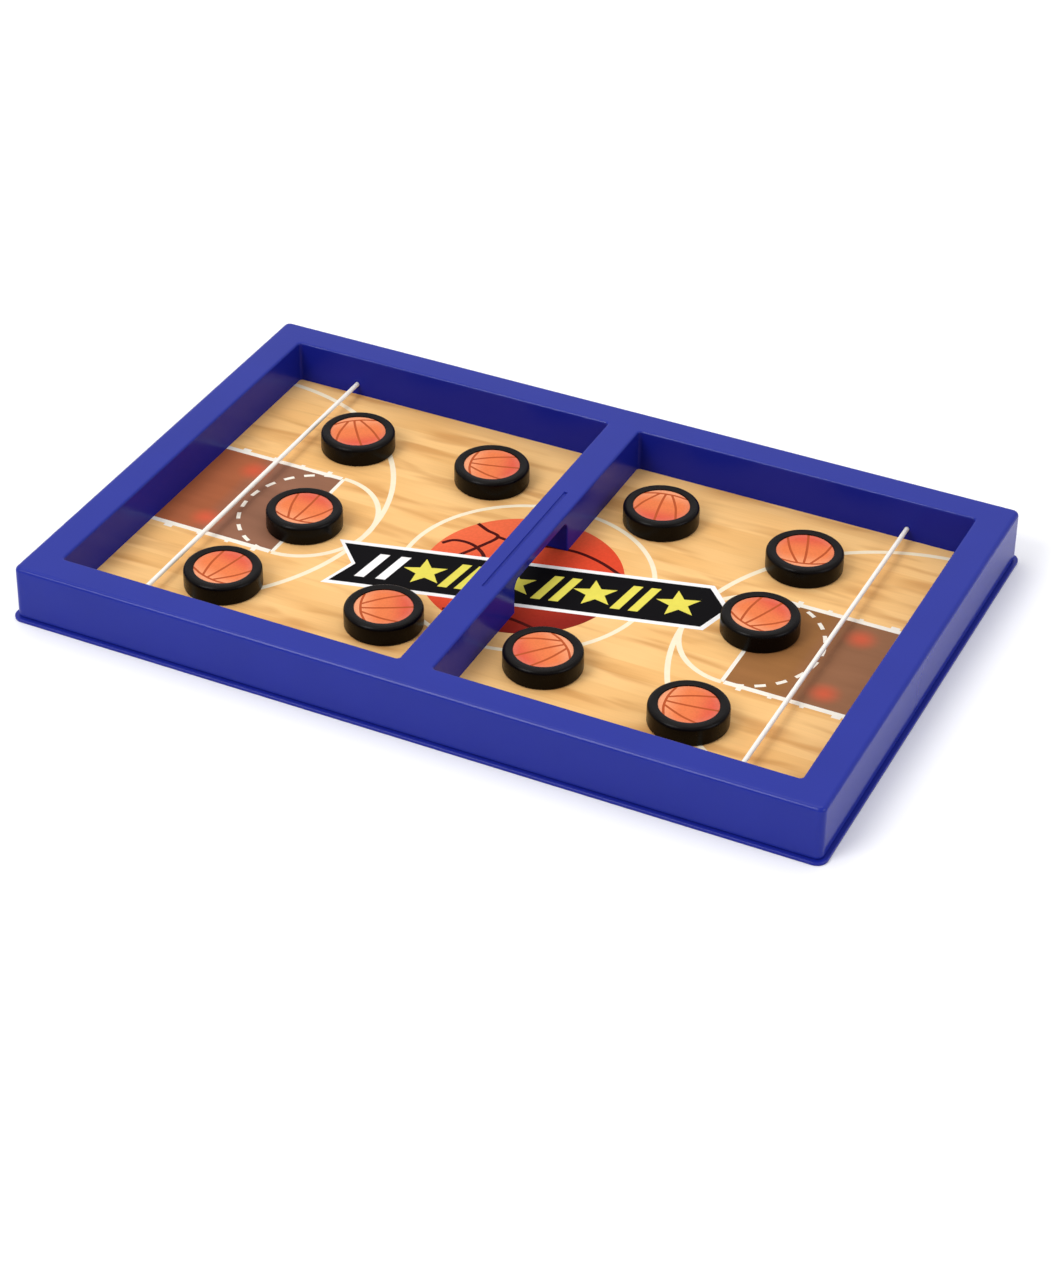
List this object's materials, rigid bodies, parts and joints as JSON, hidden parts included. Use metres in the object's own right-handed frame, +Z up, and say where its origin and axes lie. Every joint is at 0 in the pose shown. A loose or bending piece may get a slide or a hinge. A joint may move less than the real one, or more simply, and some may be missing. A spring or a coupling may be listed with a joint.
{
  "type": "sling puck game",
  "caption": "Table-top sling puck game: hollow frame with two court wells, a divider with a gate, elastic cords and labelled sliding pucks.",
  "frame": {"origin": "middle of the underside, where the board rests on a table", "axes": "+X along the board from one player's court to the other's, +Y across it, +Z up"},
  "size_m": [0.3536, 0.2286, 0.025],
  "materials": {
    "blue_frame_plastic": "glossy moulded blue",
    "blue_tray_plastic": "glossy moulded blue",
    "hardboard": "plain brown hardboard",
    "printed_court": "printed sheet with a clear gloss film",
    "zinc_screw": "zinc plated",
    "white_elastic": "white covered elastic",
    "black_puck_plastic": "satin black",
    "printed_label": "printed disc"
  },
  "bodies": {
    "board": {"top_frame": "blue_frame_plastic", "base_tray": "blue_tray_plastic", "playfield_board": "hardboard", "court_sheet": "printed_court", "base_screws": "zinc_screw"},
    "left_sling": {"left_elastic": "white_elastic"},
    "right_sling": {"right_elastic": "white_elastic"},
    "puck_1": {"puck_1": "black_puck_plastic", "puck_1_label": "printed_label"},
    "puck_2": {"puck_2": "black_puck_plastic", "puck_2_label": "printed_label"},
    "puck_3": {"puck_3": "black_puck_plastic", "puck_3_label": "printed_label"},
    "puck_4": {"puck_4": "black_puck_plastic", "puck_4_label": "printed_label"},
    "puck_5": {"puck_5": "black_puck_plastic", "puck_5_label": "printed_label"},
    "puck_6": {"puck_6": "black_puck_plastic", "puck_6_label": "printed_label"},
    "puck_7": {"puck_7": "black_puck_plastic", "puck_7_label": "printed_label"},
    "puck_8": {"puck_8": "black_puck_plastic", "puck_8_label": "printed_label"},
    "puck_9": {"puck_9": "black_puck_plastic", "puck_9_label": "printed_label"},
    "puck_10": {"puck_10": "black_puck_plastic", "puck_10_label": "printed_label"}
  },
  "joints": [
    {"name": "left_sling_pull", "type": "slide", "parent": "board", "child": "left_sling", "axis": [-1, 0, 0], "range_m": [0, 0.0275], "stiffness_N_per_m": 60, "deforming": ["left_elastic"]},
    {"name": "right_sling_pull", "type": "slide", "parent": "board", "child": "right_sling", "axis": [1, 0, 0], "range_m": [0, 0.0275], "stiffness_N_per_m": 60, "deforming": ["right_elastic"]},
    {"name": "puck_1_slide", "type": "slide", "parent": "board", "child": "puck_1", "axis": [1, 0, 0], "range_m": [-0.0043, 0.0155]},
    {"name": "puck_2_slide", "type": "slide", "parent": "board", "child": "puck_2", "axis": [1, 0, 0], "range_m": [-0.0155, 0.0204]},
    {"name": "puck_3_slide", "type": "slide", "parent": "board", "child": "puck_3", "axis": [1, 0, 0], "range_m": [-0.0134, 0.1395]},
    {"name": "puck_4_slide", "type": "slide", "parent": "board", "child": "puck_4", "axis": [1, 0, 0], "range_m": [-0.0052, 0.0194]},
    {"name": "puck_5_slide", "type": "slide", "parent": "board", "child": "puck_5", "axis": [1, 0, 0], "range_m": [-0.0194, 0.0119]},
    {"name": "puck_6_slide", "type": "slide", "parent": "board", "child": "puck_6", "axis": [1, 0, 0], "range_m": [-0.0092, 0.017]},
    {"name": "puck_7_slide", "type": "slide", "parent": "board", "child": "puck_7", "axis": [1, 0, 0], "range_m": [-0.017, 0.0129]},
    {"name": "puck_8_slide", "type": "slide", "parent": "board", "child": "puck_8", "axis": [1, 0, 0], "range_m": [-0.031, 0.012]},
    {"name": "puck_9_slide", "type": "slide", "parent": "board", "child": "puck_9", "axis": [1, 0, 0], "range_m": [-0.0095, 0.0167]},
    {"name": "puck_10_slide", "type": "slide", "parent": "board", "child": "puck_10", "axis": [1, 0, 0], "range_m": [-0.0167, 0.0137]}
  ]
}
